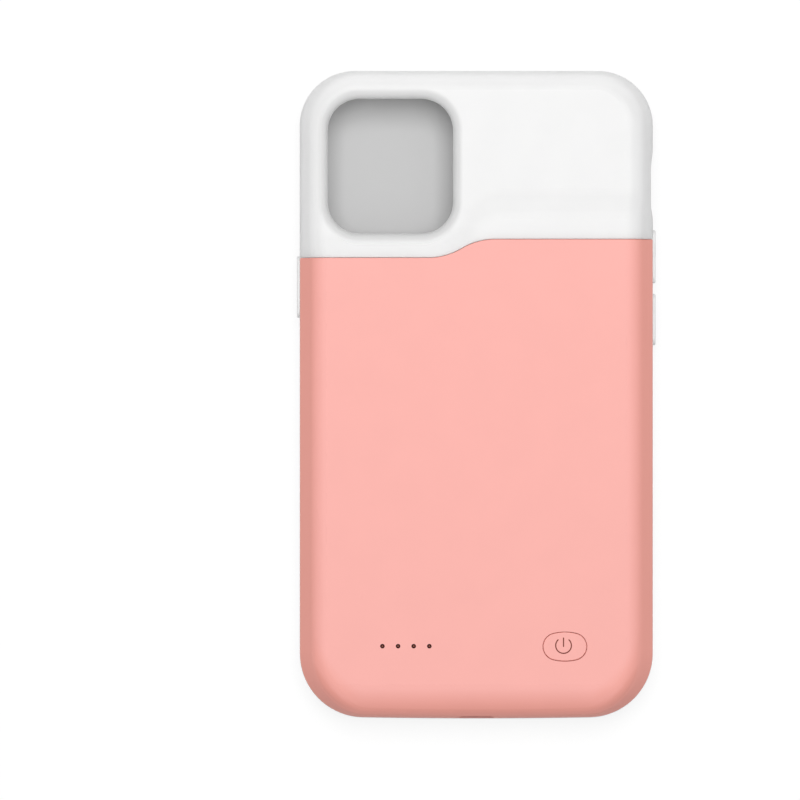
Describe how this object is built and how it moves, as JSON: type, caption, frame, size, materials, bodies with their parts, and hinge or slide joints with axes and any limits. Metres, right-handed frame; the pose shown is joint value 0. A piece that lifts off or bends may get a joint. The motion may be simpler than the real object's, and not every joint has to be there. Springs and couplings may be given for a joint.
{
  "type": "battery charging case",
  "caption": "Phone case with a battery back, a raised lip, a camera window, sprung side keys, a power button, charge lights, a plug for the phone and a charging socket.",
  "frame": {"origin": "middle of the case on the plane of the front lip", "axes": "+X to the volume keys, +Y to the camera end, +Z from the front lip to the battery back"},
  "size_m": [0.0862, 0.1556, 0.0162],
  "materials": {
    "frame_white": "satin",
    "cover_pink": "soft matte",
    "tray_grey": "matte",
    "key_white": "satin",
    "dark_plastic": "matte",
    "switch_metal": "satin",
    "led_cream": "gloss",
    "pipe_clear": "clear",
    "socket_metal": "satin",
    "contact_gold": "plated",
    "board_green": "satin",
    "coil_grey": "matte",
    "capacitor_tan": "matte",
    "screw_steel": "satin",
    "ribbon_amber": "gloss",
    "pouch_silver": "foil",
    "tape_white": "matte",
    "lead_red": "satin"
  },
  "bodies": {
    "case": {"bumper_frame": "frame_white", "battery_cover": "cover_pink", "inner_tray": "tray_grey", "power_switch": "switch_metal", "status_leds": "led_cream", "light_pipe": "pipe_clear", "charging_port": "socket_metal", "port_block": "dark_plastic", "port_contacts": "contact_gold", "main_board": "board_green", "control_chips": "dark_plastic", "power_inductor": "coil_grey", "capacitors": "capacitor_tan", "board_screws": "screw_steel", "plug_base": "tray_grey", "plug_tongue": "socket_metal", "plug_board": "board_green", "plug_ribbon": "ribbon_amber", "battery_cell": "pouch_silver", "cell_tape": "tape_white", "cell_protection_board": "board_green", "battery_leads": "lead_red"},
    "power_button": {"power_button": "cover_pink", "switch_plunger": "dark_plastic"},
    "volume_up_key": {"volume_up_key": "key_white"},
    "volume_down_key": {"volume_down_key": "key_white"},
    "side_key": {"side_key": "key_white"}
  },
  "joints": [
    {"name": "power_button_press", "type": "slide", "parent": "case", "child": "power_button", "axis": [0, 0, -1], "range_m": [0, 0.0003], "stiffness_N_per_m": 1500},
    {"name": "volume_up_press", "type": "slide", "parent": "case", "child": "volume_up_key", "axis": [-1, 0, 0], "range_m": [0, 0.0003], "stiffness_N_per_m": 1500},
    {"name": "volume_down_press", "type": "slide", "parent": "case", "child": "volume_down_key", "axis": [-1, 0, 0], "range_m": [0, 0.0003], "stiffness_N_per_m": 1500},
    {"name": "side_key_press", "type": "slide", "parent": "case", "child": "side_key", "axis": [1, 0, 0], "range_m": [0, 0.0003], "stiffness_N_per_m": 1500}
  ]
}
